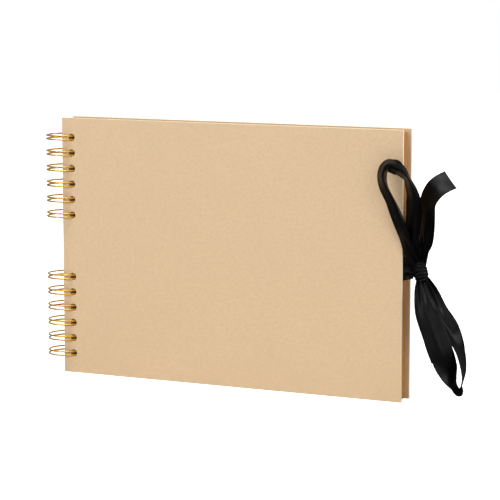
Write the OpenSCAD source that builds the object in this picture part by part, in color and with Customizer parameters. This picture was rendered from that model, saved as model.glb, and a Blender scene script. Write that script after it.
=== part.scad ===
// Landscape hard-cover sketchbook, standing on its edge with the spine upright.
// X runs from the spine to the fore edge, Y from the front cover to the back
// cover, Z up the spine. The origin is the middle of the back cover's lower edge.

/* [Covers] */
// Width of each cover, from spine edge to fore edge
cover_w = 297; // [200:1:420]
// Height of each cover, along the spine
cover_h = 210; // [200:1:320]
// Thickness of the cover board
cover_t = 2; // [1.5:0.1:3]

/* [Leaves] */
// Number of leaves between the covers
leaf_count = 40; // [10:1:40]
// Thickness of one leaf
leaf_t = 0.3; // [0.2:0.01:0.32]
// Distance from one leaf to the next in the closed book
leaf_pitch = 0.36; // [0.34:0.01:0.4]
// How far the leaves stop short of the covers at head and foot
leaf_inset = 2; // [1.5:0.1:6]
// How far the middle leaf stops short of the covers at the fore edge
fore_inset = 1.8; // [1:0.1:6]
// From the covers' spine edge to the outer leaves' spine edge
spine_inset = 1.2; // [0.5:0.1:2.5]

/* [Holes] */
// Diameter of the round punched holes
hole_d = 6; // [5.8:0.1:6.4]
// From the spine edge of a cover to the hole centres
hole_in = 8.7; // [7.5:0.1:11]
// Distance from one hole to the next
pitch = 12.7; // [11:0.1:13]
// Holes in each of the two groups
group_holes = 6; // [2:1:6]
// Hole positions left unpunched between the groups
skipped_holes = 3; // [1:1:3]

/* [Wire] */
// Diameter of the binding wire
wire_d = 1.4; // [1:0.1:1.4]
// Distance between the two wires of one loop
twin_gap = 3; // [2.6:0.1:3.1]
// From the covers' spine edge out to the axis of the rings
ring_set = 3; // [2:0.1:4]
// Inner bend of the wire where a loop turns into the link to the next
link_bend = 1.6; // [1.2:0.1:2]
// Direction of the closing seam, from the fore edge round to the back
seam_angle = 75; // [65:1:90]
// Gap between the hairpin tips and the links that they close against
seam_gap = 0.3; // [0.2:0.1:0.8]
// Length of wire left past the last loop of each group
wire_end = 2; // [1:0.5:4]

/* [Ribbon] */
// Width of the satin ribbon
ribbon_w = 19; // [15:0.5:20]
// Thickness of the ribbon
ribbon_t = 0.4; // [0.3:0.05:0.6]
// Length of ribbon glued to the inside of each cover
ribbon_glued = 35; // [20:1:60]
// Diameter of the knot
knot_d = 10; // [9:0.1:11]
// Length of the knot
knot_l = 16; // [14:0.5:18]
// Height of the whole bow, from the tip of the upper loop to that of the lower
bow_h = 176; // [165:1:190]

/* [Hidden] */
$fn = 48;

// Clear space left beside a ribbon between a cover and the nearest leaf
ribbon_slack = 0.15;
// Line of glue between a ribbon and its cover
glue = 0.12;
// Clearance between the wire and the rim of the hole that it rests in
seat = 0.15;
// How much fuller the wire is where it was bent
joint_swell = 0.03;
// How far the wire lies below the middle of the covers' holes
cover_drop = 0.3;
// How far the leaves hang below the middle of the wire
leaf_drop = 0.4;

kraft = "#dabe9b";
page_kraft = "#b98a57";
gold = "#d9a441";
black = "#1c1b1e";

inner = leaf_count * leaf_pitch + 2 * (ribbon_t + ribbon_slack);
front_y = -(inner + cover_t);
spine_x = -cover_w / 2;
hole_x = spine_x + hole_in;
hole_r = hole_d / 2;
wire_r = wire_d / 2;

positions = 2 * group_holes + skipped_holes;
hole_top = cover_h / 2 + (positions - 1) / 2 * pitch;
upper_group = [for (i = [0 : group_holes - 1]) hole_top - i * pitch];
lower_group = [for (i = [0 : group_holes - 1])
    hole_top - (group_holes + skipped_holes + i) * pitch];
hole_zs = concat(upper_group, lower_group);

// The rings are centred half way through the book and pass through the
// holes of both covers, so everything turns about this one axis.
half_span = (inner + cover_t) / 2;
ring_x = spine_x - ring_set;
ring_y = -half_span;
ring_r = sqrt(pow(hole_in + ring_set, 2) + pow(half_span, 2));

// The loops start at the links and end in the hairpin tips.
start_angle = seam_angle + atan(link_bend / ring_r);
tip_reach = atan((twin_gap / 2 + wire_r) / ring_r);
seam_half = (wire_r + seam_gap) / ring_r * 180 / PI;
end_angle = 360 + seam_angle - seam_half - tip_reach;
link_l = pitch - twin_gap - 2 * link_bend;

// The middle leaves move away from the spine as far as the rings make them.
first_leaf_y = front_y + cover_t / 2 + ribbon_t + ribbon_slack;
function leaf_y(i) = first_leaf_y + (i - 0.5) * leaf_pitch;
function ring_at(y) = ring_x + sqrt(pow(ring_r, 2) - pow(y - ring_y, 2));
side_play = sqrt(pow(hole_r - wire_r - seat, 2) - pow(twin_gap / 2 + leaf_drop, 2));
function leaf_shift(i) = max(0, ring_at(leaf_y(i)) - hole_x - side_play);
most_shift = ring_at(ring_y) - hole_x - side_play;
leaf_w = cover_w - spine_inset - most_shift - fore_inset;
leaf_h = cover_h - 2 * leaf_inset;

function leaf_name(i) = str("leaf_", i < 10 ? "0" : "", i);

// ---- Covers and leaves ----

module holes(x, z) {
    for (hole_z = hole_zs) translate([x, hole_z + z]) circle(hole_r);
}

// Stands an outline drawn in X and Z upright, centred on y
module sheet(y, t) {
    translate([0, y + t / 2, 0]) rotate([90, 0, 0]) linear_extrude(t) children();
}

module cover(y) {
    color(kraft) sheet(y, cover_t) difference() {
        translate([spine_x, 0]) square([cover_w, cover_h]);
        holes(hole_x, 0);
    }
}

module back_cover() {
    cover(0);
}

module front_cover() {
    cover(front_y);
}

module leaf(i) {
    x = spine_x + spine_inset + leaf_shift(i);
    drop = cover_drop + leaf_drop;
    color(page_kraft) sheet(leaf_y(i), leaf_t) difference() {
        translate([x, leaf_inset - drop]) square([leaf_w, leaf_h]);
        holes(hole_x + leaf_shift(i), -drop);
    }
}

// ---- Twin-loop wire ----

module bent_wire(r, angle) {
    rotate_extrude(angle = angle) translate([r, 0]) circle(wire_r);
}

// The very slightly fuller wire where one bend runs into the next
module joint() {
    sphere(wire_r + joint_swell);
}

// Places children on the ring at an angle: X outward, Y along the wire
module on_ring(angle) {
    rotate([0, 0, angle]) translate([ring_r, 0, 0]) children();
}

// Bend from one wire of a loop into the link, towards side = 1 up or -1 down
module link_turn(side) {
    on_ring(start_angle) {
        translate([0, 0, side * (twin_gap / 2 + link_bend)])
            rotate([0, 90, 0]) rotate([0, 0, side > 0 ? -90 : 180]) bent_wire(link_bend, 90);
        translate([0, 0, side * twin_gap / 2]) joint();
        translate([0, -link_bend, side * (twin_gap / 2 + link_bend)]) joint();
    }
}

module link(from_z, length) {
    on_ring(start_angle) translate([0, -link_bend, from_z]) cylinder(h = length, r = wire_r);
}

module twin_loop() {
    for (side = [-1, 1]) {
        translate([0, 0, side * twin_gap / 2])
            rotate([0, 0, start_angle]) bent_wire(ring_r, end_angle - start_angle);
        link_turn(side);
    }
    on_ring(end_angle) {
        rotate([0, 90, 0]) bent_wire(twin_gap / 2, 180);
        for (side = [-1, 1]) translate([0, 0, side * twin_gap / 2]) joint();
    }
}

module wire(zs) {
    last = len(zs) - 1;
    turn = twin_gap / 2 + link_bend;
    color(gold) translate([ring_x, ring_y, -cover_drop]) {
        for (z = zs) translate([0, 0, z]) twin_loop();
        for (i = [1 : last]) translate([0, 0, zs[i]]) link(turn, link_l);
        translate([0, 0, zs[0]]) link(turn, wire_end);
        translate([0, 0, zs[last]]) link(-turn - wire_end, wire_end);
    }
}

module wire_upper() {
    wire(upper_group);
}

module wire_lower() {
    wire(lower_group);
}

// ---- Ribbon ----

// A run of ribbon is a list of stations: [point, direction across, share of the
// full width]. Curves between stations are Catmull-Rom, in steps_per_span steps.
steps_per_span = 4;

function unit(v) = v / norm(v);
function spline(a, b, c, d, t) = 0.5 * (2 * b + (c - a) * t
    + (2 * a - 5 * b + 4 * c - d) * t * t + (3 * b - a - 3 * c + d) * t * t * t);
function at_span(list, i, t) = let (last = len(list) - 1) spline(
    list[max(i - 1, 0)], list[i], list[min(i + 1, last)], list[min(i + 2, last)], t);
function smooth(list) = concat(
    [for (i = [0 : len(list) - 2]) for (k = [0 : steps_per_span - 1])
        at_span(list, i, k / steps_per_span)],
    [list[len(list) - 1]]);
function along(points, i) = unit(
    points[min(i + 1, len(points) - 1)] - points[max(i - 1, 0)]);
function square_to(v, t) = unit(v - (v * t) * t);
function ring_corners(c, across, t, half_w) = let (normal = cross(t, across)) [
    for (k = [[-1, -1], [1, -1], [1, 1], [-1, 1]])
        c + k[0] * half_w * across + k[1] * ribbon_t / 2 * normal];

module ribbon(run) {
    points = smooth([for (s = run) s[0]]);
    across = smooth([for (s = run) s[1]]);
    share = smooth([for (s = run) s[2]]);
    n = len(points);
    corners = [for (i = [0 : n - 1]) let (t = along(points, i))
        each ring_corners(points[i], square_to(across[i], t), t, ribbon_w / 2 * share[i])];
    sides = [for (i = [0 : n - 2]) for (k = [0 : 3])
        let (a = 4 * i + k, b = 4 * i + (k + 1) % 4)
        each [[a, b + 4, b], [a, a + 4, b + 4]]];
    far = 4 * (n - 1);
    ends = [[0, 1, 2], [0, 2, 3], [far + 2, far + 1, far], [far + 3, far + 2, far]];
    color(black) polyhedron(corners, concat(sides, ends), convexity = 6);
}

// The bow's stations are drawn for a bow of drawn_bow_h and scaled to bow_h. They
// are placed from the fore edge, the front of the book and mid height.
drawn_bow_h = 176;
bow_k = bow_h / drawn_bow_h;
function bow(x, y, z) = [cover_w / 2, front_y - cover_t / 2, cover_h / 2] + bow_k * [x, y, z];
function off_knot(x, y, z) = knot_at + bow_k * [x, y, z];

knot_at = bow(12, 7.5, -3.5);
knot_lean = [0, -15, 0];

front_glue_y = front_y + cover_t / 2 + glue + ribbon_t / 2;
back_glue_y = -cover_t / 2 - glue - ribbon_t / 2;

// The stations of a ribbon glued flat inside a cover, up to the fore edge
function glued(y, z) = [for (x = [-ribbon_glued, -ribbon_glued / 2 - 1, -8, -3])
    [[cover_w / 2 + x, y, z], [0, 0, 1], 1]];

module ribbon_front() {
    z = cover_h / 2 - 1;
    ribbon(concat(glued(front_glue_y, z), [
        [[cover_w / 2 + 1.5, front_glue_y + 0.3, z - 0.4], [0, 0, 1], 0.95],
        [bow(4.5, 3.4, -2), [0, 0.1, 1], 0.8],
        [bow(8.5, 5, -3), [0, 0.1, 1], 0.6]
    ]));
}

module ribbon_back() {
    z = cover_h / 2 + 3;
    ribbon(concat(glued(back_glue_y, z), [
        [[cover_w / 2 + 0.8, back_glue_y - 0.15, z], [0, 0, 1], 0.95],
        [bow(3.8, 15, 2.9), [0, 0.1, 1], 0.75],
        [bow(6.4, 12.8, 1), [0, 0.1, 1], 0.5]
    ]));
}

module bow_knot() {
    bulge = knot_d * 0.08;
    color(black) translate(knot_at) rotate(knot_lean) rotate_extrude() difference() {
        translate([0, -knot_l / 2]) square([knot_d / 2, knot_l]);
        for (side = [-1, 1]) translate([knot_d / 2 + knot_l / 3, side * knot_l / 2])
            circle(knot_l / 3 + bulge);
    }
}

module bow_loop_upper() {
    ribbon([
        [off_knot(-1.8, -2, 5), [0, 1, 0], 0.3],
        [off_knot(-4.6, -5, 14), [0, 1, 0], 0.55],
        [bow(5.2, -5, 22), [0, 1, 0], 0.8],
        [bow(1.7, -9.5, 34), [0, 1, 0], 1],
        [bow(-4.7, -13, 51), [0, 1, 0], 1],
        [bow(-9.3, -15, 64), [0, 1, 0], 1],
        [bow(-10.3, -16, 74), [0, 1, 0], 1],
        [bow(-5, -15, 82), [0, 1, 0], 1],
        [bow(2.2, -13, 78.5), [0, 1, 0], 1],
        [bow(7.4, -9, 67), [0.1, 1, 0], 1],
        [bow(9.9, -5.5, 51), [0.2, 1, 0], 1],
        [bow(10.4, -1, 31), [0.22, 1, 0], 0.85],
        [off_knot(-1, -1, 13), [0.2, 1, 0], 0.5],
        [off_knot(-0.4, -1, 5), [0.2, 1, 0], 0.3]
    ]);
}

module bow_tail_upper() {
    ribbon([
        [off_knot(0.8, 3.5, 5), [0.88, -0.25, 0], 0.3],
        [bow(13, 12, 12.5), [0.92, -0.3, 0], 0.55],
        [bow(14.3, 10.5, 22), [0.92, -0.4, 0], 0.82],
        [bow(16.2, 8.2, 37), [0.87, -0.5, 0.05], 1],
        [bow(17.1, 8, 48), [0.85, -0.5, 0], 1],
        [bow(19.2, 8.5, 54.7), [0.84, -0.45, -0.25], 1],
        [bow(23, 10, 60.5), [0.82, -0.38, -0.42], 1],
        [bow(27.5, 13, 64.3), [0.8, -0.33, -0.5], 1],
        [bow(32.2, 17, 66.8), [0.78, -0.3, -0.54], 1]
    ]);
}

module bow_loop_lower() {
    ribbon([
        [off_knot(0.5, -2, -5), [0.6, 0.8, 0.3], 0.3],
        [bow(15.5, 3, -18), [0.75, 0.6, 0.3], 0.65],
        [bow(20, -1, -32), [0.85, 0.45, 0.3], 1],
        [bow(26, -3, -47), [0.85, 0.45, 0.3], 1],
        [bow(33, -4, -63), [0.8, 0.5, 0.3], 1],
        [bow(38.5, -3, -76), [0.5, 0.8, 0.15], 1],
        [bow(42.2, 0, -87.5), [-0.1, 0.95, -0.1], 1],
        [bow(44, 3, -94), [-0.4, 0.9, -0.15], 1],
        [bow(46.8, 6, -90), [-0.4, 0.9, -0.15], 1],
        [bow(47.6, 9, -77), [-0.3, 0.93, -0.15], 1],
        [bow(44, 12, -62), [-0.05, 1, 0], 1],
        [bow(38.2, 13, -47), [0.2, 1, 0.15], 1],
        [bow(30.5, 13, -33), [0.3, 1, 0.15], 1],
        [bow(22, 12, -20), [0.3, 1, 0.15], 0.8],
        [off_knot(2.4, 1.5, -5), [0.3, 1, 0.1], 0.3]
    ]);
}

module bow_tail_lower() {
    ribbon([
        [off_knot(0.3, 3, -5), [0.5, 0.9, 0.1], 0.25],
        [bow(13.5, 13, -20), [0.6, 0.8, 0.15], 0.7],
        [bow(16, 15, -34), [0.75, 0.65, 0.2], 1],
        [bow(19.5, 15, -47), [0.8, 0.6, 0.25], 1],
        [bow(24, 14, -60), [0.8, 0.6, 0.3], 1],
        [bow(29, 13, -71), [0.8, 0.6, 0.35], 1]
    ]);
}

back_cover();
front_cover();
wire_upper();
wire_lower();
ribbon_front();
ribbon_back();
bow_knot();
bow_loop_upper();
bow_loop_lower();
bow_tail_upper();
bow_tail_lower();
for (i = [1 : leaf_count])
    leaf(i);
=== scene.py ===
"""Looks of a landscape sketchbook: kraft boards and leaves hang on two twin-loop
wires and are tied at the fore edge with a black satin ribbon."""

import math
import random

import bmesh
import bpy
from bpy.props import FloatProperty, FloatVectorProperty, IntProperty, PointerProperty
from bpy.types import Operator, Panel, PropertyGroup
from mathutils import Matrix, Vector, noise


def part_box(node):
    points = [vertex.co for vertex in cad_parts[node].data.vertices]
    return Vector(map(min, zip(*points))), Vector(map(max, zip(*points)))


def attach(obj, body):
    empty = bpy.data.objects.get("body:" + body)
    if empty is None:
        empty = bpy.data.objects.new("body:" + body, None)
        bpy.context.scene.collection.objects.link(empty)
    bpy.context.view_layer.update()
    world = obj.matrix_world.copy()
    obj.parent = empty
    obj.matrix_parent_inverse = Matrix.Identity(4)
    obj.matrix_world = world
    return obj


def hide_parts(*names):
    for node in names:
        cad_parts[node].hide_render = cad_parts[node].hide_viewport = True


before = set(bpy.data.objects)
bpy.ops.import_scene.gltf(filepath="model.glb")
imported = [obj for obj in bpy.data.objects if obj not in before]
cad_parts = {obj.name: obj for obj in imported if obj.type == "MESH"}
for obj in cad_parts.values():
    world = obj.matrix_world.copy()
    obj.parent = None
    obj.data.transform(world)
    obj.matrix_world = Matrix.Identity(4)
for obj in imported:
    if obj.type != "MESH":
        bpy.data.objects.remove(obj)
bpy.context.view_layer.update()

bl_info = {
    "name": "Wire-bound sketchbook",
    "version": (1, 0, 0),
    "blender": (4, 5, 0),
    "location": "View3D > Sidebar > Sketchbook",
    "description": "Dresses a sketchbook of kraft boards, twin-loop wire and satin ribbon",
    "category": "Object",
}

MM = 0.001
FRONT_LOW, FRONT_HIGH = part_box("front_cover")
BACK_LOW, BACK_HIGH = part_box("back_cover")
COVER_HEIGHT = FRONT_HIGH.z - FRONT_LOW.z
LEAF_COUNT = sum(name.startswith("leaf_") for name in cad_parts)


def linear(code):
    """The linear colour of an sRGB hex value such as #dabe9b, with an alpha of 1."""
    parts = [int(code[i : i + 2], 16) / 255 for i in (1, 3, 5)]
    parts = [c / 12.92 if c <= 0.04045 else ((c + 0.055) / 1.055) ** 2.4 for c in parts]
    return (*parts, 1.0)


def length(text, default_mm, description):
    """A length property, kept in metres and given here in millimetres."""
    return FloatProperty(
        name=text, description=description, default=default_mm * MM, unit="LENGTH", precision=5
    )


def turn_by(text, degrees, description):
    """An angle property, kept in radians and given here in degrees."""
    return FloatProperty(
        name=text, description=description, default=math.radians(degrees), subtype="ANGLE"
    )


def level(text, value, description):
    """A brightness or power property, which is dark at 0."""
    return FloatProperty(name=text, description=description, default=value, min=0)


def colour(text, code, description):
    """A colour property, given as an sRGB hex value."""
    return FloatVectorProperty(
        name=text, description=description, default=linear(code), size=4,
        subtype="COLOR", min=0, max=1,
    )


# ---- Settings ----


class SketchbookSheets(PropertyGroup):
    """Sizes and colours of the boards and the leaves."""

    hole_diameter: length("Hole diameter", 6, "Diameter of a punched hole")
    hole_in: length("Hole from the edge", 8.7, "Spine edge of a cover to a hole's middle")
    leaf_spine_inset: length("Leaf inset at the spine", 1.2, "How far a leaf stops short")
    leaf_inset: length("Leaf inset", 2, "How far a leaf stops short at its top and bottom")
    leaf_corner_radius: length("Leaf corner radius", 1, "Rounding of a leaf's corners")
    leaf_slip_across: length("Leaf slip across", 0.15, "Most that a leaf lies out of line")
    leaf_slip_up: length("Leaf slip up", 0.1, "Most that a leaf lies too high or low")
    pitch: length("Hole pitch", 12.7, "Distance between neighbouring holes, two to the inch")
    group_holes: IntProperty(name="Holes in a group", description="Holes on each wire", default=6)
    skipped_holes: IntProperty(name="Skipped holes", description="Places left out", default=3)
    corner_radius: length("Corner radius", 0.5, "Rounding of a cover's corners")
    edge_radius: length("Edge radius", 0.5, "Softened edge of a pressed board")
    board: colour("Board", "#dcbf9a", "Kraft paper on the boards")
    # The edge colour is paler than the kraft face and is lifted towards white as a painted
    # highlight, for the light that the rounded rims catch.
    board_edge: colour("Board edge", "#fbecd0", "Cut edge of the boards")
    leaf: colour("Leaf", "#cf8f45", "Kraft card of the leaves")


class SketchbookWire(PropertyGroup):
    """Sizes and colour of the twin-loop wires."""

    diameter: length("Wire diameter", 1.4, "Diameter of the wire")
    twin_gap: length("Twin gap", 3, "Distance between the two wires of a loop")
    ring_set: length("Ring set", 3, "How far the ring's middle lies outside the spine edge")
    link_bend: length("Link bend", 1.6, "Bend radius between a loop and a link")
    seam_gap: length("Seam gap", 0.3, "Space between the hairpin tips and the links")
    end_stub: length("Wire end", 2, "Straight end of a wire past its last bend")
    drop: length("Drop", 0.3, "How far the wire lies below the middle of the holes")
    seam_angle: turn_by("Seam angle", 75, "Where the loops close, behind the back cover")
    gold: colour("Gold", "#f0c052", "Lacquer of the wire")


class SketchbookRibbon(PropertyGroup):
    """Sizes and colour of the ribbon."""

    width: length("Ribbon width", 19, "Width of the ribbon")
    thickness: length("Ribbon thickness", 0.3, "Thickness of the woven satin")
    glued: length("Glued length", 35, "Length of ribbon glued inside each cover")
    glued_off: length("Glued stand-off", 0.32, "Cover's inner face to the ribbon's middle")
    ripple_length: length("Ripple length", 22, "Distance from ripple to ripple along it")
    ripple_height: length("Ripple height", 0.5, "How far a ripple stands off")
    knot_radius: length("Knot radius", 5.2, "Radius of the knot at the foot of its creases")
    knot_half_height: length("Knot half height", 8.8, "Middle of the knot to either end")
    knot_lean: turn_by("Knot lean", 15, "How far the knot's top leans to the spine")
    black: colour("Satin", "#070608", "Dyed satin")


class SketchbookStage(PropertyGroup):
    """Camera, lamps and floor."""

    lens: FloatProperty(name="Lens", description="Focal length", default=154.49, unit="CAMERA")
    azimuth: turn_by("Azimuth", 25.12, "How far round to the fore edge the camera is")
    elevation: turn_by("Elevation", 7.88, "How far the camera looks down")
    distance: length("Camera distance", 1686.3, "Camera to the front cover")
    aim_x: length("Aim across", 20.6, "Point of aim from the middle of the cover")
    aim_z: length("Aim height", 111.1, "Point of aim above the floor")
    left_power: level("Left lamp", 18.5, "Power in watts")
    front_power: level("Front lamp", 16.4, "Power in watts")
    right_power: level("Right lamp", 26, "Power in watts")
    top_power: level("Top lamp", 42, "Power in watts")
    back_power: level("Back lamp", 18, "Power in watts")
    lamp_distance: length("Lamp distance", 2600, "Middle of the book to each lamp")
    sky: level("Sky", 0.1, "Strength of the light all round")
    sky_seen: level("Sky in reflections", 0.12, "Strength of the sky in shiny surfaces")
    floor: colour("Floor", "#f4f3f1", "Pale floor")
    floor_glow: level("Floor glow", 0.85, "Brightness that the camera alone sees")
    floor_seen: level("Floor in reflections", 0.08, "Paleness in shiny surfaces")
    floor_radius: length("Floor radius", 3600, "Reach of the round white sheet")


# ---- Small helpers ----

WELD_DISTANCE = 0.0001 * MM


def add_node(tree, kind, inputs=None, **settings):
    """Add one node with its settings, and its inputs as values or as links."""
    node = tree.nodes.new(kind)
    for name, value in settings.items():
        setattr(node, name, value)
    for socket, value in (inputs or {}).items():
        if isinstance(value, bpy.types.NodeSocket):
            tree.links.new(value, node.inputs[socket])
        else:
            node.inputs[socket].default_value = value
    return node


def new_material(name, values):
    """A material with a Principled shader; returns it with its tree and shader."""
    material = bpy.data.materials.new(name)
    material.use_nodes = True
    tree = material.node_tree
    shader = tree.nodes["Principled BSDF"]
    for socket, value in values.items():
        shader.inputs[socket].default_value = value
    return material, tree, shader


def per(size_mm):
    """The texture scale at which a pattern's grain has this size."""
    return 1 / (size_mm * MM)


def shade(tone, factor):
    """A colour made lighter or darker by a factor."""
    return (tone[0] * factor, tone[1] * factor, tone[2] * factor, 1.0)


def add_piece(name, mesh, material, body, node):
    """Link a finished mesh, give it its material and tie it to its CAD body and node."""
    piece = bpy.data.objects.new(name, mesh)
    bpy.context.scene.collection.objects.link(piece)
    mesh.materials.append(material)
    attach(piece, body)
    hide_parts(node)
    return piece


def mesh_from_curve(name, curve, matrix=None):
    """Turn a curve into a mesh, apply a place to it and drop the curve."""
    holder = bpy.data.objects.new(name + "_outline", curve)
    bpy.context.scene.collection.objects.link(holder)
    bpy.context.view_layer.update()
    evaluated = holder.evaluated_get(bpy.context.evaluated_depsgraph_get())
    mesh = bpy.data.meshes.new_from_object(evaluated)
    mesh.name = name
    if matrix is not None:
        mesh.transform(matrix)
    bpy.data.objects.remove(holder)
    bpy.data.curves.remove(curve)
    return mesh


def tidy_mesh(mesh, sharp_degrees):
    """Merge doubles, point the faces outwards and shade smooth, apart from the edges
    that turn by more than an angle."""
    shaped = bmesh.new()
    shaped.from_mesh(mesh)
    bmesh.ops.remove_doubles(shaped, verts=shaped.verts, dist=WELD_DISTANCE)
    bmesh.ops.recalc_face_normals(shaped, faces=shaped.faces)
    for edge in shaped.edges:
        inner = len(edge.link_faces) == 2
        edge.smooth = inner and edge.calc_face_angle(0) <= math.radians(sharp_degrees)
    for face in shaped.faces:
        face.smooth = True
    shaped.to_mesh(mesh)
    shaped.free()


# ---- Materials ----


def kraft_board_material(tone):
    """Unbleached kraft paper, calendered and pasted on board: matt, with a fine fibre
    fleck along the grain and slow clouds where the pulp lay thicker."""
    material, tree, shader = new_material("kraft_paper_on_board", {"Roughness": 0.72})
    place = add_node(tree, "ShaderNodeTexCoord").outputs["Object"]
    grain = add_node(tree, "ShaderNodeMapping", {"Vector": place, "Scale": (0.75, 1, 1)})
    # Fibres are 0.1 mm wide; they are drawn as flecks of 2 mm so that they show.
    fleck = add_node(
        tree, "ShaderNodeTexNoise",
        {"Vector": grain.outputs[0], "Scale": per(2.0), "Detail": 6.0, "Roughness": 0.7},
    )
    cloud = add_node(
        tree, "ShaderNodeTexNoise",
        {"Vector": place, "Scale": per(45), "Detail": 3.0, "Roughness": 0.55},
    )
    fibre = add_node(
        tree, "ShaderNodeMix",
        {"Factor": fleck.outputs["Fac"], "A": shade(tone, 0.82), "B": shade(tone, 1.17)},
        data_type="RGBA",
    )
    depth = add_node(
        tree, "ShaderNodeMapRange",
        {"Value": cloud.outputs["Fac"], "From Min": 0.3, "From Max": 0.7, "To Max": 0.35},
    )
    body = add_node(
        tree, "ShaderNodeMix",
        {"Factor": depth.outputs[0], "A": fibre.outputs[2], "B": shade(tone, 0.93)},
        data_type="RGBA",
    )
    tree.links.new(body.outputs[2], shader.inputs["Base Color"])
    tooth = add_node(
        tree, "ShaderNodeBump",
        {"Height": fleck.outputs["Fac"], "Strength": 0.25, "Distance": 0.05 * MM},
    )
    tree.links.new(tooth.outputs[0], shader.inputs["Normal"])
    return material


def edge_and_highlight_material(tone):
    """Guillotined edge of pasted board: paler than the kraft face and lifted further
    towards white as a painted highlight for the light that the rims catch, with the
    plies showing as thin lines along it."""
    material, tree, shader = new_material("cut_board_edge", {"Roughness": 0.85})
    place = add_node(tree, "ShaderNodeTexCoord").outputs["Object"]
    plies = add_node(tree, "ShaderNodeMapping", {"Vector": place, "Scale": (0.05, 1, 0.05)})
    # A ply of the board is about 0.4 mm thick.
    line = add_node(
        tree, "ShaderNodeTexNoise",
        {"Vector": plies.outputs[0], "Scale": per(0.4), "Detail": 3.0},
    )
    body = add_node(
        tree, "ShaderNodeMix",
        {"Factor": line.outputs["Fac"], "A": shade(tone, 0.86), "B": shade(tone, 1.08)},
        data_type="RGBA",
    )
    tree.links.new(body.outputs[2], shader.inputs["Base Color"])
    return material


def kraft_card_material(tone):
    """Heavy kraft card, cut in a stack: browner than the boards, and each leaf's
    edge is a little lighter or darker than its neighbour's."""
    material, tree, shader = new_material("kraft_card", {"Roughness": 0.8})
    place = add_node(tree, "ShaderNodeTexCoord").outputs["Object"]
    stack = add_node(tree, "ShaderNodeMapping", {"Vector": place, "Scale": (0.01, 1, 0.01)})
    # Leaves lie 0.36 mm apart, so the tone changes from leaf to leaf.
    leaf_tone = add_node(
        tree, "ShaderNodeTexNoise",
        {"Vector": stack.outputs[0], "Scale": per(0.5), "Detail": 2.0},
    )
    fibre = add_node(
        tree, "ShaderNodeTexNoise",
        {"Vector": place, "Scale": per(1.2), "Detail": 6.0, "Roughness": 0.7},
    )
    both = add_node(
        tree, "ShaderNodeMath", {0: leaf_tone.outputs["Fac"], 1: fibre.outputs["Fac"]},
        operation="MULTIPLY",
    )
    spread = add_node(
        tree, "ShaderNodeMapRange",
        {"Value": both.outputs[0], "From Min": 0.12, "From Max": 0.4},
    )
    body = add_node(
        tree, "ShaderNodeMix",
        {"Factor": spread.outputs[0], "A": shade(tone, 0.78), "B": shade(tone, 1.12)},
        data_type="RGBA",
    )
    tree.links.new(body.outputs[2], shader.inputs["Base Color"])
    return material


def gold_wire_material(tone):
    """Drawn steel wire in gold lacquer: metal flake in a clear yellow coat, so it
    glows all round as well as gleaming, and is a little rubbed in places."""
    material, tree, shader = new_material(
        "gold_lacquered_wire", {"Base Color": tone, "Metallic": 0.65}
    )
    place = add_node(tree, "ShaderNodeTexCoord").outputs["Object"]
    # The rubbed spots are finer than 0.1 mm; they are drawn at 0.5 mm so that they show.
    marks = add_node(
        tree, "ShaderNodeTexNoise",
        {"Vector": place, "Scale": per(0.5), "Detail": 4.0},
    )
    rub = add_node(
        tree, "ShaderNodeMapRange",
        {"Value": marks.outputs["Fac"], "To Min": 0.16, "To Max": 0.3},
    )
    tree.links.new(rub.outputs[0], shader.inputs["Roughness"])
    return material


def satin_material(tone):
    """Black polyester satin, woven with long floats: deep black in the folds, with a
    soft grey sheen across the floats and slubs that dull it here and there."""
    name = "black_satin_ribbon"
    if name in bpy.data.materials:
        return bpy.data.materials[name]
    material, tree, shader = new_material(
        name,
        {
            "Base Color": tone, "Specular IOR Level": 0.14, "Anisotropic": 0.4,
            "Sheen Weight": 0.005, "Sheen Roughness": 0.35,
        },
    )
    across = add_node(tree, "ShaderNodeUVMap", uv_map="weave").outputs[0]
    # The floats are 0.1 mm apart; they are drawn as ribs of 0.6 mm so that they show.
    floats = add_node(
        tree, "ShaderNodeMapping", {"Vector": across, "Scale": (1, 0.04, 1)}
    )
    ribs = add_node(
        tree, "ShaderNodeTexNoise",
        {"Vector": floats.outputs[0], "Scale": per(0.6), "Detail": 3.0},
    )
    slubs = add_node(
        tree, "ShaderNodeTexNoise",
        {"Vector": across, "Scale": per(9), "Detail": 2.0},
    )
    shine = add_node(
        tree, "ShaderNodeMapRange",
        {"Value": slubs.outputs["Fac"], "From Min": 0.3, "From Max": 0.7,
         "To Min": 0.3, "To Max": 0.44},
    )
    tree.links.new(shine.outputs[0], shader.inputs["Roughness"])
    weave = add_node(
        tree, "ShaderNodeBump",
        {"Height": ribs.outputs["Fac"], "Strength": 0.35, "Distance": 0.06 * MM},
    )
    tree.links.new(weave.outputs[0], shader.inputs["Normal"])
    return material


# ---- Boards and leaves ----

CORNER_STEPS = 6
BOARD_HOLE_STEPS = 10
LEAF_HOLE_STEPS = 4
# How squarely a face looks along Y: from BROAD_FROM on it is part of a flat side, and
# below RIM_BELOW it is part of the cut rim.
BROAD_FROM = 0.999
RIM_BELOW = 0.8
JOG_SEED = 7


def rounded_outline(curve, centre, half, radius, steps):
    """Add a closed outline with round corners, or a circle where they fill it."""
    points = []
    for corner in range(4):
        side_x = 1 if corner in (0, 3) else -1
        side_z = 1 if corner in (0, 1) else -1
        for k in range(steps):
            angle = math.pi / 2 * (corner + (k + 0.5) / steps)
            points.append((
                centre[0] + side_x * (half[0] - radius) + radius * math.cos(angle),
                centre[1] + side_z * (half[1] - radius) + radius * math.sin(angle),
            ))
    spline = curve.splines.new("POLY")
    spline.points.add(len(points) - 1)
    for point, (x, z) in zip(spline.points, points):
        point.co = (x, z, 0, 1)
    spline.use_cyclic_u = True


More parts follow.
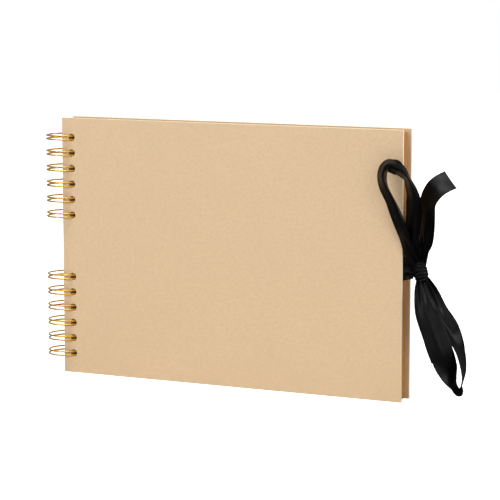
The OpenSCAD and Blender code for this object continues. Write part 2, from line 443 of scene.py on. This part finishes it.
def hole_heights(sheets):
    """Heights of the holes of each wire above a cover's lower edge, from the top down."""
    places = 2 * sheets.group_holes + sheets.skipped_holes
    top = COVER_HEIGHT / 2 + (places - 1) / 2 * sheets.pitch
    firsts = (0, sheets.group_holes + sheets.skipped_holes)
    return [
        [top - (first + i) * sheets.pitch for i in range(sheets.group_holes)]
        for first in firsts
    ]


def punched_sheet(name, node, sheets, corner, edge, hole_in, hole_lift, hole_steps):
    """A sheet of a CAD node's size, standing upright, with its punched holes: hole_in
    is from its spine edge to their middles, and hole_lift is how far its lower edge
    lies above a cover's when their holes are in line."""
    low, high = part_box(node)
    middle = (low + high) / 2
    size = high - low
    curve = bpy.data.curves.new(name, "CURVE")
    curve.dimensions = "2D"
    curve.fill_mode = "BOTH"
    curve.extrude = size.y / 2 - edge
    curve.bevel_depth = edge
    curve.bevel_resolution = 2 if edge else 0
    curve.offset = -edge
    half = (size.x / 2, size.z / 2)
    rounded_outline(curve, (middle.x, middle.z), half, corner, CORNER_STEPS)
    radius = sheets.hole_diameter / 2
    for group in hole_heights(sheets):
        for height in group:
            centre = (low.x + hole_in, low.z + height - hole_lift)
            rounded_outline(curve, centre, (radius, radius), radius, hole_steps)
    upright = Matrix.Translation((0, middle.y, 0)) @ Matrix.Rotation(math.pi / 2, 4, "X")
    mesh = mesh_from_curve(name, curve, upright)
    tidy_mesh(mesh, sharp_degrees=40)
    for face in mesh.polygons:
        # The broad faces stay flat, so the round edges don't tilt their shading.
        face.use_smooth = abs(face.normal.y) < BROAD_FROM
    return mesh


class SKETCHBOOK_OT_covers(Operator):
    """Press the two boards, with kraft faces and pale cut edges that carry a painted highlight"""

    bl_idname = "sketchbook.covers"
    bl_label = "Boards"

    def execute(self, context):
        sheets = context.scene.sketchbook_sheets
        face = kraft_board_material(tuple(sheets.board))
        # The rim material holds a painted highlight: its colour is lifted towards white for the
        # light that the edges catch.
        rim = edge_and_highlight_material(tuple(sheets.board_edge))
        for name, node, body in (
            ("front_board", "front_cover", "front"),
            ("back_board", "back_cover", "back"),
        ):
            mesh = punched_sheet(
                name, node, sheets, sheets.corner_radius, sheets.edge_radius,
                sheets.hole_in, 0, BOARD_HOLE_STEPS,
            )
            add_piece(name, mesh, face, body, node)
            mesh.materials.append(rim)
            for polygon in mesh.polygons:
                polygon.material_index = int(abs(polygon.normal.y) < RIM_BELOW)
        return {"FINISHED"}


class SKETCHBOOK_OT_leaves(Operator):
    """Cut the kraft leaves, each a hair out of line as a jogged stack is"""

    bl_idname = "sketchbook.leaves"
    bl_label = "Leaves"

    def execute(self, context):
        sheets = context.scene.sketchbook_sheets
        card = kraft_card_material(tuple(sheets.leaf))
        hole_in = sheets.hole_in - sheets.leaf_spine_inset
        chance = random.Random(JOG_SEED)
        for i in range(1, LEAF_COUNT + 1):
            node = f"leaf_{i:02d}"
            name = f"kraft_leaf_{i:02d}"
            mesh = punched_sheet(
                name, node, sheets, sheets.leaf_corner_radius, 0,
                hole_in, sheets.leaf_inset, LEAF_HOLE_STEPS,
            )
            across = chance.uniform(-sheets.leaf_slip_across, sheets.leaf_slip_across)
            up = chance.uniform(-sheets.leaf_slip_up, sheets.leaf_slip_up)
            mesh.transform(Matrix.Translation((across, 0, up)))
            add_piece(name, mesh, card, node, node)
        return {"FINISHED"}


# ---- Wires ----

BEND_STEPS = 6
RING_STEPS = 60
TIP_STEPS = 10


def loop_route(z, wire, ring_r, half_gap, turn_end):
    """One twin loop unrolled: distance along the ring and height, from the link
    above it, round to its hairpin tip and back to the link below."""
    bend = wire.link_bend
    turns = [math.pi / 2 * k / BEND_STEPS for k in range(BEND_STEPS + 1)]
    quarter = [(bend - bend * math.cos(a), bend - bend * math.sin(a)) for a in turns]
    arc = [bend + (turn_end - bend) * k / RING_STEPS for k in range(1, RING_STEPS)]
    turns = [math.pi * k / TIP_STEPS for k in range(TIP_STEPS + 1)]
    tip = [(turn_end + half_gap * math.sin(a), z + half_gap * math.cos(a)) for a in turns]
    there = [(s, z + half_gap + rise) for s, rise in quarter]
    there += [(s, z + half_gap) for s in arc]
    back = [(s, 2 * z - height) for s, height in reversed(there)]
    return there + tip + back


class SKETCHBOOK_OT_wires(Operator):
    """Bend the two twin-loop wires through the holes"""

    bl_idname = "sketchbook.wires"
    bl_label = "Twin-loop wires"

    def execute(self, context):
        sheets = context.scene.sketchbook_sheets
        wire = context.scene.sketchbook_wire
        gold = gold_wire_material(tuple(wire.gold))
        half_span = (BACK_LOW.y + BACK_HIGH.y - FRONT_LOW.y - FRONT_HIGH.y) / 4
        ring_x = FRONT_LOW.x - wire.ring_set
        ring_y = (FRONT_LOW.y + BACK_HIGH.y) / 2
        ring_r = math.hypot(sheets.hole_in + wire.ring_set, half_span)
        half_gap = wire.twin_gap / 2
        turn = half_gap + wire.link_bend
        turn_end = 2 * math.pi * ring_r - half_gap - wire.diameter - wire.seam_gap
        for name, zs in zip(("wire_upper", "wire_lower"), hole_heights(sheets)):
            route = [(0, zs[0] + turn + wire.end_stub)]
            for z in zs:
                route += loop_route(z, wire, ring_r, half_gap, turn_end)
            route.append((0, zs[-1] - turn - wire.end_stub))
            curve = bpy.data.curves.new(name, "CURVE")
            curve.dimensions = "3D"
            curve.bevel_depth = wire.diameter / 2
            curve.bevel_resolution = 4
            curve.use_fill_caps = True
            spline = curve.splines.new("POLY")
            spline.points.add(len(route) - 1)
            for point, (s, z) in zip(spline.points, route):
                angle = wire.seam_angle + s / ring_r
                point.co = (
                    ring_x + ring_r * math.cos(angle), ring_y + ring_r * math.sin(angle),
                    z - wire.drop, 1,
                )
            mesh = mesh_from_curve("plated_" + name, curve)
            tidy_mesh(mesh, sharp_degrees=60)
            add_piece("plated_" + name, mesh, gold, "back", name)
        return {"FINISHED"}


# ---- Ribbon ----
# A run of ribbon is a list of stations: its middle, the direction from one selvedge
# to the other, the share of the full width that it spreads over, and how finely it is
# pleated, from 0 for one lengthwise fold to 1 for small pleats. Between stations the
# run follows a Catmull-Rom curve.

ROWS_PER_SPAN = 10
COLUMNS = 24
# How many panels lie side by side in one lengthwise fold and in small pleats
FOLD_PANELS = 2
PLEAT_PANELS = 5
LEAST_SHARE = 0.2
# The mean height of a cupped ribbon, as a share of its curl
CUP_MEAN = 0.33
# The knot's middle, in the bow's own millimetres
KNOT_X, KNOT_Y, KNOT_Z = 12, 7.5, -3.5


def from_bow(x, y, z):
    """A point of the bow in mm, from the fore edge, the cover's face and mid height."""
    middle = (FRONT_LOW.z + FRONT_HIGH.z) / 2
    return Vector((FRONT_HIGH.x + x * MM, FRONT_LOW.y + y * MM, middle + z * MM))


def knot_point(x, y, z):
    """A point of the bow in mm, from the knot's middle."""
    return from_bow(KNOT_X + x, KNOT_Y + y, KNOT_Z + z)


def blend_four(values, place):
    """Catmull-Rom value of a list of vectors or numbers at a place along it."""
    last = len(values) - 1
    i = min(int(place), last - 1)
    t = place - i
    a, b, c, d = (values[min(max(i + k, 0), last)] for k in (-1, 0, 1, 2))
    return 0.5 * (
        2 * b + (c - a) * t + (2 * a - 5 * b + 4 * c - d) * t * t
        + (3 * b - a - 3 * c + d) * t * t * t
    )


def pleat(u, share, panels, width):
    """How far a ribbon of that width stands off its middle when its panels are folded
    down to a share of its width. u runs across it from -0.5 to 0.5."""
    turn = (u + 0.5) * panels
    ridge = abs(turn % 2 - 1)
    rounded = 0.5 + 0.5 * math.cos(math.pi * turn)
    depth = width / panels * math.sqrt(max(0.0, 1 - share * share))
    return (0.5 * (ridge + rounded) - 0.5) * depth


def ribbon_run(name, stations, ribbon, seed, cup):
    """A run of ribbon as an open grid laid along its stations, with its length. Its
    selvedges curl by cup, in mm."""
    points, across, shares, fine = zip(*stations)
    across = [Vector(a).normalized() for a in across]
    spans = len(stations) - 1
    rows = spans * ROWS_PER_SPAN
    width = ribbon.width
    middle = [blend_four(points, spans * k / rows) for k in range(rows + 1)]
    run = [0.0]
    for a, b in zip(middle, middle[1:]):
        run.append(run[-1] + (b - a).length)
    grid = bmesh.new()
    bmesh.ops.create_grid(grid, x_segments=COLUMNS, y_segments=rows, size=0.5, calc_uvs=True)
    weave = grid.loops.layers.uv.verify()
    for face in grid.faces:
        for corner in face.loops:
            u, v = corner.vert.co.x, corner.vert.co.y + 0.5
            corner[weave].uv = (u * width, run[round(v * rows)])
    for vert in grid.verts:
        u = vert.co.x
        row = round((vert.co.y + 0.5) * rows)
        place = spans * row / rows
        along = (middle[min(row + 1, rows)] - middle[max(row - 1, 0)]).normalized()
        side = blend_four(across, place)
        side = (side - along * side.dot(along)).normalized()
        out = along.cross(side)
        share = min(1.0, max(LEAST_SHARE, blend_four(shares, place)))
        finer = min(1.0, max(0.0, blend_four(fine, place)))
        fold = pleat(u, share, FOLD_PANELS, width)
        off = (1 - finer) * fold + finer * pleat(u, share, PLEAT_PANELS, width)
        ripple = noise.noise(Vector((run[row] / ribbon.ripple_length, 1.5 * u, seed)))
        curl = cup * (4 * u * u - CUP_MEAN) * MM
        off += (ribbon.ripple_height * ripple + curl) * min(1, 2 * share)
        vert.co = middle[row] + side * u * share * width + out * off
    mesh = bpy.data.meshes.new(name)
    grid.to_mesh(mesh)
    grid.free()
    mesh.uv_layers[0].name = "weave"
    for polygon in mesh.polygons:
        polygon.use_smooth = True
    return mesh, run[-1]


def lay_ribbon(name, node, body, stations, ribbon, satin, seed, cup):
    mesh, long = ribbon_run(name, stations, ribbon, seed, cup)
    piece = add_piece(name, mesh, satin, body, node)
    wall = piece.modifiers.new("woven_thickness", "SOLIDIFY")
    wall.thickness = ribbon.thickness
    wall.offset = 0


def upper_loop_stations():
    """Up from the knot, round the curl at the top and back down behind."""
    return [
        (knot_point(-2.2, -2, 5), (0.3, 0.95, 0), 0.3, 1),
        (from_bow(7.2, 0.5, 12), (0.6, 0.8, 0), 0.5, 0.6),
        (from_bow(6.2, -5, 21.5), (0.7, 0.7, 0), 0.48, 0.3),
        (from_bow(4.6, -9, 30), (0.74, 0.67, 0), 0.48, 0),
        (from_bow(0.6, -12, 42.5), (0.74, 0.67, 0.15), 0.47, 0),
        (from_bow(-3.4, -14, 53), (0.74, 0.66, 0.2), 0.38, 0),
        (from_bow(-8.6, -15, 63), (0.8, 0.58, 0.15), 0.36, 0),
        (from_bow(-10.4, -16, 70), (0.9, 0.43, 0), 0.37, 0),
        (from_bow(-9.4, -16, 76), (0.8, 0.35, -0.45), 0.38, 0),
        (from_bow(-6.4, -16, 79.8), (0.55, 0.1, -0.8), 0.4, 0),
        (from_bow(-2.8, -15, 79), (0.15, -0.1, -1), 0.56, 0),
        (from_bow(1.2, -14, 77.2), (-0.2, -0.2, -0.95), 0.56, 0),
        (from_bow(4.4, -12, 74.4), (-0.5, -0.35, -0.78), 0.42, 0),
        (from_bow(8, -10.5, 69), (-0.7, -0.42, -0.55), 0.25, 0),
        (from_bow(9.8, -8.5, 63), (-0.78, -0.43, -0.42), 0.37, 0),
        (from_bow(11.1, -7, 57), (-0.83, -0.43, -0.3), 0.48, 0),
        (from_bow(11.6, -6, 51), (-0.87, -0.44, -0.2), 0.58, 0),
        (from_bow(11.2, -4, 42), (-0.88, -0.44, -0.1), 0.62, 0),
        (from_bow(9.6, -2, 30), (-0.88, -0.44, 0), 0.62, 0.1),
        (from_bow(8, 1.5, 18), (-0.85, -0.45, 0), 0.52, 0.6),
        (knot_point(-3.2, -1, 12), (-0.7, -0.5, 0), 0.45, 1),
        (knot_point(-2, -1, 5), (-0.5, -0.8, 0), 0.3, 1),
    ]


def upper_tail_stations():
    """Up behind the upper loop and over to the cut end."""
    return [
        (knot_point(0.8, 3.5, 5), (0.88, -0.25, 0), 0.3, 1),
        (from_bow(13, 12, 12.5), (0.92, -0.3, 0), 0.6, 0.9),
        (from_bow(14.3, 10.5, 22), (0.92, -0.4, 0), 0.85, 0.4),
        (from_bow(16.2, 8.2, 37), (0.87, -0.5, 0.05), 0.97, 0),
        (from_bow(17.1, 8, 48), (0.85, -0.5, 0), 1, 0),
        (from_bow(19.2, 8.5, 54.7), (0.84, -0.45, -0.25), 1, 0),
        (from_bow(23, 10, 60.5), (0.82, -0.38, -0.42), 1, 0),
        (from_bow(27.5, 13, 64.3), (0.8, -0.33, -0.5), 1, 0),
        (from_bow(32.2, 17, 66.8), (0.78, -0.3, -0.54), 1, 0),
    ]


def lower_loop_stations():
    """Down from the knot, round the pointed tip and back up behind."""
    return [
        (knot_point(0.5, -2, -5), (-0.6, -0.8, -0.3), 0.3, 0.8),
        (from_bow(15.5, 3, -18), (-0.75, -0.6, -0.3), 0.65, 0.55),
        (from_bow(20.6, -1, -32), (-0.85, -0.45, -0.3), 0.94, 0.35),
        (from_bow(27, -3, -47), (-0.85, -0.45, -0.3), 0.97, 0),
        (from_bow(34.3, -4, -63), (-0.8, -0.5, -0.3), 0.98, 0),
        (from_bow(38.5, -1, -76), (-0.54, -0.82, 0), 1, 0),
        (from_bow(42.3, 2.5, -86.8), (-0.05, -0.97, 0.15), 1, 0),
        (from_bow(45.7, 4.5, -92.8), (0.12, -0.97, 0.2), 0.95, 0),
        (from_bow(46.9, 5.8, -89), (0.29, -0.95, 0.14), 1, 0),
        (from_bow(47.1, 8.3, -77), (0.13, -0.98, 0.1), 1, 0),
        (from_bow(42.4, 12, -62), (-0.05, -1, 0), 1, 0),
        (from_bow(33.8, 13, -47), (-0.36, -0.93, -0.15), 0.96, 0),
        (from_bow(25.2, 13, -33), (-0.3, -1, -0.15), 0.8, 0.5),
        (from_bow(19.8, 12, -20), (-0.25, -1, -0.15), 0.68, 1),
        (knot_point(2.4, 1.5, -5), (-0.3, -1, -0.1), 0.3, 1),
    ]


def lower_tail_stations():
    """Down behind the lower loop."""
    return [
        (knot_point(0.3, 3, -5), (0.5, 0.9, 0.1), 0.25, 1),
        (from_bow(13.5, 13, -20), (0.6, 0.8, 0.15), 0.7, 1),
        (from_bow(16, 15, -34), (0.75, 0.65, 0.2), 0.97, 0.5),
        (from_bow(19.5, 15, -47), (0.8, 0.6, 0.25), 1, 0),
        (from_bow(24, 14, -60), (0.8, 0.6, 0.3), 1, 0),
        (from_bow(29, 13, -71), (0.8, 0.6, 0.35), 1, 0),
    ]


def glued_stations(ribbon, start):
    """The part of a ribbon that is glued flat inside a cover, up to the fore edge."""
    steps = (-ribbon.glued, -ribbon.glued / 2 - 1 * MM, -8 * MM, -3 * MM)
    return [(start + Vector((x, 0, 0)), (0, 0, 1), 1, 0) for x in steps]


def front_ribbon_stations(ribbon):
    """Out from inside the front cover and gathered into the knot."""
    start = from_bow(0, 0, -1)
    start.y = FRONT_HIGH.y + ribbon.glued_off
    return glued_stations(ribbon, start) + [
        (start + Vector((1.5, 0.3, -0.4)) * MM, (0, 0, 1), 0.95, 1),
        (from_bow(4.5, 3.4, -2), (0, 0.1, 1), 0.8, 1),
        (from_bow(8.5, 5, -3), (0, 0.1, 1), 0.6, 1),
    ]


def back_ribbon_stations(ribbon):
    """Out from inside the back cover, ending short of the knot."""
    start = from_bow(0, 0, 3)
    start.y = BACK_LOW.y - ribbon.glued_off
    return glued_stations(ribbon, start) + [
        (start + Vector((0.8, -0.15, 0)) * MM, (0, 0, 1), 0.95, 1),
        (from_bow(3.8, 15, 2.9), (0, 0.1, 1), 0.75, 1),
        (from_bow(6.4, 12.8, 1), (0, 0.1, 1), 0.5, 1),
    ]


class SKETCHBOOK_OT_ribbons(Operator):
    """Lay the satin ribbon: two glued ends, two loops and two tails of the bow"""

    bl_idname = "sketchbook.ribbons"
    bl_label = "Ribbon and bow"

    def execute(self, context):
        ribbon = context.scene.sketchbook_ribbon
        satin = satin_material(tuple(ribbon.black))
        runs = (
            # piece, CAD node, body, stations, what it rests on, curl in mm
            ("satin_end_front", "ribbon_front", "front", front_ribbon_stations(ribbon),
             "front_board", 0),
            ("satin_end_back", "ribbon_back", "back", back_ribbon_stations(ribbon),
             "back_board", 0),
            ("satin_loop_upper", "bow_loop_upper", "front", upper_loop_stations(),
             "satin_knot", 0.5),
            ("satin_loop_lower", "bow_loop_lower", "front", lower_loop_stations(),
             "satin_knot", 0.5),
            ("satin_tail_upper", "bow_tail_upper", "front", upper_tail_stations(),
             "satin_knot", -0.6),
            ("satin_tail_lower", "bow_tail_lower", "front", lower_tail_stations(),
             "satin_knot", 0.4),
        )
        for seed, (name, node, body, stations, base, cup) in enumerate(runs):
            lay_ribbon(name, node, body, stations, ribbon, satin, seed, cup)
        return {"FINISHED"}


# The knot's form, as powers of a ball's height and girth that square it, and how much
# narrower it is at its ends
KNOT_HEIGHT_POWER = 0.75
KNOT_GIRTH_POWER = 0.45
KNOT_TAPER = 0.12
# Its creases: how many wraps lie from its middle to an end, how far they slant and
# wander, how often they wander, and how deep they are
KNOT_WRAPS = 3.2
WRAP_SLANT = 0.55
WRAP_WANDER = 0.35
WANDER_RATE = 2.2
CREASE_DEPTH = 0.8 * MM
# Its fine wrinkles: how deep they are, and how often they come round it and up it
WRINKLE_DEPTH = 0.35 * MM
WRINKLES_ROUND = 0.8
WRINKLES_UP = 6
# The satin's weave runs over the knot as on a ribbon of this height and girth.
WEAVE_UP = 16 * MM
WEAVE_ROUND = 30 * MM


def knot_place(unit, ribbon):
    """Where a point of a unit ball goes on the upright knot, a squared barrel that is
    narrower at its ends and creased by the wraps."""
    across = Vector((unit.x, unit.y, 0))
    angle = math.atan2(across.y, across.x)
    height = math.copysign(abs(unit.z) ** KNOT_HEIGHT_POWER, unit.z)
    barrel = across.length ** KNOT_GIRTH_POWER
    slant = height * KNOT_WRAPS + WRAP_SLANT * math.sin(angle)
    wrap = slant + WRAP_WANDER * noise.noise(unit * WANDER_RATE)
    crease = abs(wrap % 1 - 0.5) * 2
    wrinkle = noise.noise(Vector((angle * WRINKLES_ROUND, height * WRINKLES_UP, 3)))
    radius = ribbon.knot_radius + CREASE_DEPTH * crease * barrel + WRINKLE_DEPTH * wrinkle
    waist = 1 - KNOT_TAPER * height * height
    spread = across.normalized() * radius * barrel * waist
    return spread + Vector((0, 0, height * ribbon.knot_half_height))


class SKETCHBOOK_OT_knot(Operator):
    """Wrap the knot: a barrel of ribbon, creased round its waist"""

    bl_idname = "sketchbook.knot"
    bl_label = "Knot"

    def execute(self, context):
        ribbon = context.scene.sketchbook_ribbon
        ball = bmesh.new()
        bmesh.ops.create_uvsphere(
            ball, u_segments=96, v_segments=64, radius=1, calc_uvs=True
        )
        weave = ball.loops.layers.uv.verify()
        for face in ball.faces:
            for corner in face.loops:
                around, up = corner[weave].uv
                corner[weave].uv = (up * WEAVE_UP, around * WEAVE_ROUND)
        for vert in ball.verts:
            vert.co = knot_place(vert.co.copy(), ribbon)
        lean = Matrix.Rotation(-ribbon.knot_lean, 4, "Y")
        place = Matrix.Translation(knot_point(0, 0, 0))
        bmesh.ops.transform(ball, matrix=place @ lean, verts=ball.verts)
        mesh = bpy.data.meshes.new("satin_knot")
        ball.to_mesh(mesh)
        ball.free()
        mesh.uv_layers[0].name = "weave"
        tidy_mesh(mesh, sharp_degrees=80)
        satin = satin_material(tuple(ribbon.black))
        add_piece("satin_knot", mesh, satin, "front", "bow_knot")
        return {"FINISHED"}


# ---- Stage ----


def floor_material(stage):
    """Matt white sheet: it glows for the camera alone, so that it comes out as white
    as the background and still keeps the book's soft shadow, and it is dark in shiny
    surfaces, so that the satin stays black."""
    material, tree, shader = new_material("white_sheet", {"Roughness": 0.9})
    path = add_node(tree, "ShaderNodeLightPath")
    paint = add_node(
        tree, "ShaderNodeMix",
        {"Factor": path.outputs["Is Glossy Ray"], "A": tuple(stage.floor),
         "B": shade((1, 1, 1), stage.floor_seen)},
        data_type="RGBA",
    )
    tree.links.new(paint.outputs[2], shader.inputs["Base Color"])
    strength = add_node(
        tree, "ShaderNodeMath",
        {0: path.outputs["Is Camera Ray"], 1: stage.floor_glow}, operation="MULTIPLY",
    )
    glow = add_node(tree, "ShaderNodeEmission", {"Strength": strength.outputs[0]})
    both = add_node(tree, "ShaderNodeAddShader", {0: shader.outputs[0], 1: glow.outputs[0]})
    output = tree.nodes["Material Output"]
    tree.links.new(both.outputs[0], output.inputs["Surface"])
    return material


def aim_at(thing, target):
    """Turn a lamp or the camera to look at a point, upright."""
    look = target - thing.location
    thing.rotation_euler = look.to_track_quat("-Z", "Y").to_euler()


def add_lamp(name, place, target, power, size):
    """A square soft light aimed at a point."""
    data = bpy.data.lights.new(name, "AREA")
    data.energy = power
    data.size = size
    lamp = bpy.data.objects.new(name, data)
    bpy.context.scene.collection.objects.link(lamp)
    lamp.location = place
    aim_at(lamp, target)


def from_front(azimuth, elevation, distance):
    """A point that far from the origin; azimuth turns from the cover's face to +X."""
    flat = distance * math.cos(elevation)
    return Vector((
        flat * math.sin(azimuth), -flat * math.cos(azimuth), distance * math.sin(elevation)
    ))


def lay_floor(stage):
    """A round white sheet under the book, which isn't part of it."""
    ground = bmesh.new()
    bmesh.ops.create_circle(ground, cap_ends=True, segments=128, radius=stage.floor_radius)
    mesh = bpy.data.meshes.new("floor")
    ground.to_mesh(mesh)
    ground.free()
    floor = bpy.data.objects.new("floor", mesh)
    bpy.context.scene.collection.objects.link(floor)
    mesh.materials.append(floor_material(stage))


def set_camera(stage):
    """The camera, a little above the book and round to its fore edge."""
    aim = Vector((stage.aim_x, FRONT_LOW.y, stage.aim_z))
    data = bpy.data.cameras.new("camera")
    data.lens = stage.lens
    data.clip_end = 100
    camera = bpy.data.objects.new("camera", data)
    bpy.context.scene.collection.objects.link(camera)
    camera.location = aim + from_front(stage.azimuth, stage.elevation, stage.distance)
    aim_at(camera, aim)
    bpy.context.scene.camera = camera


def light_sky(stage):
    """A dim sky all round, a little stronger in shiny surfaces. The camera alone sees
    it at a strength of 1, which is white."""
    world = bpy.data.worlds.new("studio")
    bpy.context.scene.world = world
    world.use_nodes = True
    tree = world.node_tree
    path = add_node(tree, "ShaderNodeLightPath")
    around = add_node(
        tree, "ShaderNodeMapRange",
        {"Value": path.outputs["Is Glossy Ray"], "To Min": stage.sky,
         "To Max": stage.sky_seen},
    )
    strength = add_node(
        tree, "ShaderNodeMapRange",
        {"Value": path.outputs["Is Camera Ray"], "To Min": around.outputs[0]},
    )
    background = tree.nodes["Background"]
    background.inputs["Color"].default_value = (1, 1, 1, 1)
    tree.links.new(strength.outputs[0], background.inputs["Strength"])


class SKETCHBOOK_OT_stage(Operator):
    """Set the floor, the camera and the light"""

    bl_idname = "sketchbook.stage"
    bl_label = "Stage"

    def execute(self, context):
        stage = context.scene.sketchbook_stage
        lay_floor(stage)
        set_camera(stage)
        centre = Vector((0, 0, COVER_HEIGHT / 2))
        for name, azimuth, elevation, power, size in (
            # name, degrees round from the cover's face, degrees up, watts, metres
            ("left_softbox", -25, 18, stage.left_power, 1.1),
            ("front_softbox", 44, 21, stage.front_power, 1.7),
            ("right_softbox", 102, 28, stage.right_power, 1.4),
            ("top_softbox", -22, 74, stage.top_power, 1.3),
            ("back_softbox", 200, 30, stage.back_power, 1.8),
        ):
            place = from_front(
                math.radians(azimuth), math.radians(elevation), stage.lamp_distance
            )
            add_lamp(name, centre + place, centre, power, size)
        light_sky(stage)
        context.scene.view_settings.view_transform = "Standard"
        return {"FINISHED"}


# ---- Add-on ----


class SKETCHBOOK_PT_panel(Panel):
    """Lists the steps that dress the sketchbook"""

    bl_idname = "SKETCHBOOK_PT_panel"
    bl_label = "Sketchbook"
    bl_space_type = "VIEW_3D"
    bl_region_type = "UI"
    bl_category = "Sketchbook"

    def draw(self, context):
        for group in GROUPS:
            box = self.layout.box()
            settings = getattr(context.scene, group)
            for name in settings.__annotations__:
                box.prop(settings, name)
        for step in OPERATORS:
            self.layout.operator(step.bl_idname)


GROUPS = {
    "sketchbook_sheets": SketchbookSheets,
    "sketchbook_wire": SketchbookWire,
    "sketchbook_ribbon": SketchbookRibbon,
    "sketchbook_stage": SketchbookStage,
}
OPERATORS = (
    SKETCHBOOK_OT_covers,
    SKETCHBOOK_OT_leaves,
    SKETCHBOOK_OT_wires,
    SKETCHBOOK_OT_knot,
    SKETCHBOOK_OT_ribbons,
    SKETCHBOOK_OT_stage,
)


def register():
    for group in (*GROUPS.values(), *OPERATORS, SKETCHBOOK_PT_panel):
        bpy.utils.register_class(group)
    for name, group in GROUPS.items():
        setattr(bpy.types.Scene, name, PointerProperty(type=group))


def unregister():
    for name in GROUPS:
        delattr(bpy.types.Scene, name)
    for group in reversed((*GROUPS.values(), *OPERATORS, SKETCHBOOK_PT_panel)):
        bpy.utils.unregister_class(group)


def main():
    register()
    bpy.ops.sketchbook.covers()
    bpy.ops.sketchbook.leaves()
    bpy.ops.sketchbook.wires()
    bpy.ops.sketchbook.knot()
    bpy.ops.sketchbook.ribbons()
    bpy.ops.sketchbook.stage()
    bpy.context.view_layer.update()


if __name__ == "__main__":
    main()
